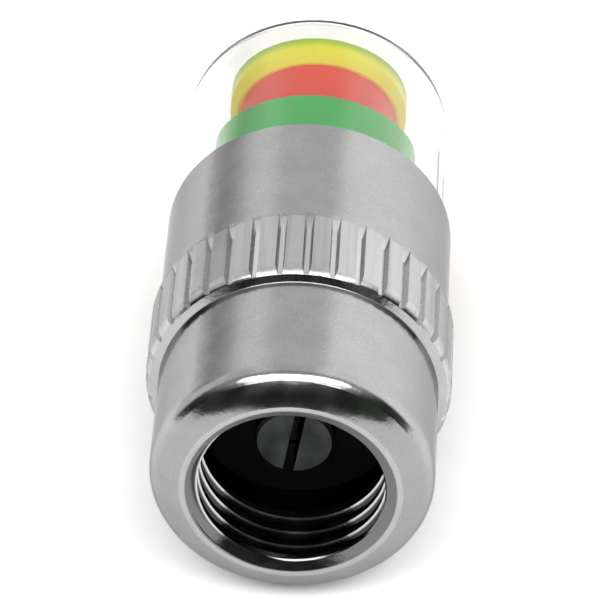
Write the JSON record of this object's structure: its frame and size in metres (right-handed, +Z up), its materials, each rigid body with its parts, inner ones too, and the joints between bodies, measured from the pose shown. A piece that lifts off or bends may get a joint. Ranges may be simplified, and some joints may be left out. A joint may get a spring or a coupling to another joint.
{
  "type": "tyre pressure valve cap",
  "caption": "Metal valve cap with a knurled grip and a clear dome, where a sprung green sleeve rises over red and yellow bands to show tyre pressure.",
  "frame": {"origin": "middle of the mouth, on the valve thread's axis", "axes": "+Y along the cap's axis from the mouth to the dome, +Z up with the cap lying on its side"},
  "size_m": [0.0116, 0.0237, 0.0116],
  "materials": {
    "body_metal": "satin",
    "black_rubber": "matt",
    "pin_metal": "dark turned",
    "brass": "turned",
    "clear_plastic": "polished",
    "yellow_plastic": "gloss",
    "red_plastic": "gloss",
    "spring_steel": "plain",
    "green_plastic": "gloss"
  },
  "bodies": {
    "housing": {"body": "body_metal", "stem_gasket": "black_rubber", "pin_plate": "brass", "core_pin": "pin_metal", "pin_washer": "pin_metal", "cylinder_seal": "black_rubber", "pressure_cylinder": "brass", "lock_ring": "brass", "dome_seal": "black_rubber", "dome": "clear_plastic", "yellow_band": "yellow_plastic", "red_band": "red_plastic", "spring_guide": "spring_steel", "spring_shim": "spring_steel", "spring": "spring_steel"},
    "indicator": {"piston": "brass", "piston_ring": "black_rubber", "sleeve_carrier": "green_plastic", "rod_clip": "spring_steel", "green_sleeve": "green_plastic"}
  },
  "joints": [
    {"name": "indicator_slide", "type": "slide", "parent": "housing", "child": "indicator", "axis": [0, 1, 0], "range_m": [0, 0.0042], "stiffness_N_per_m": 210, "springref_m": -0.0107, "deforming": ["spring"]}
  ]
}
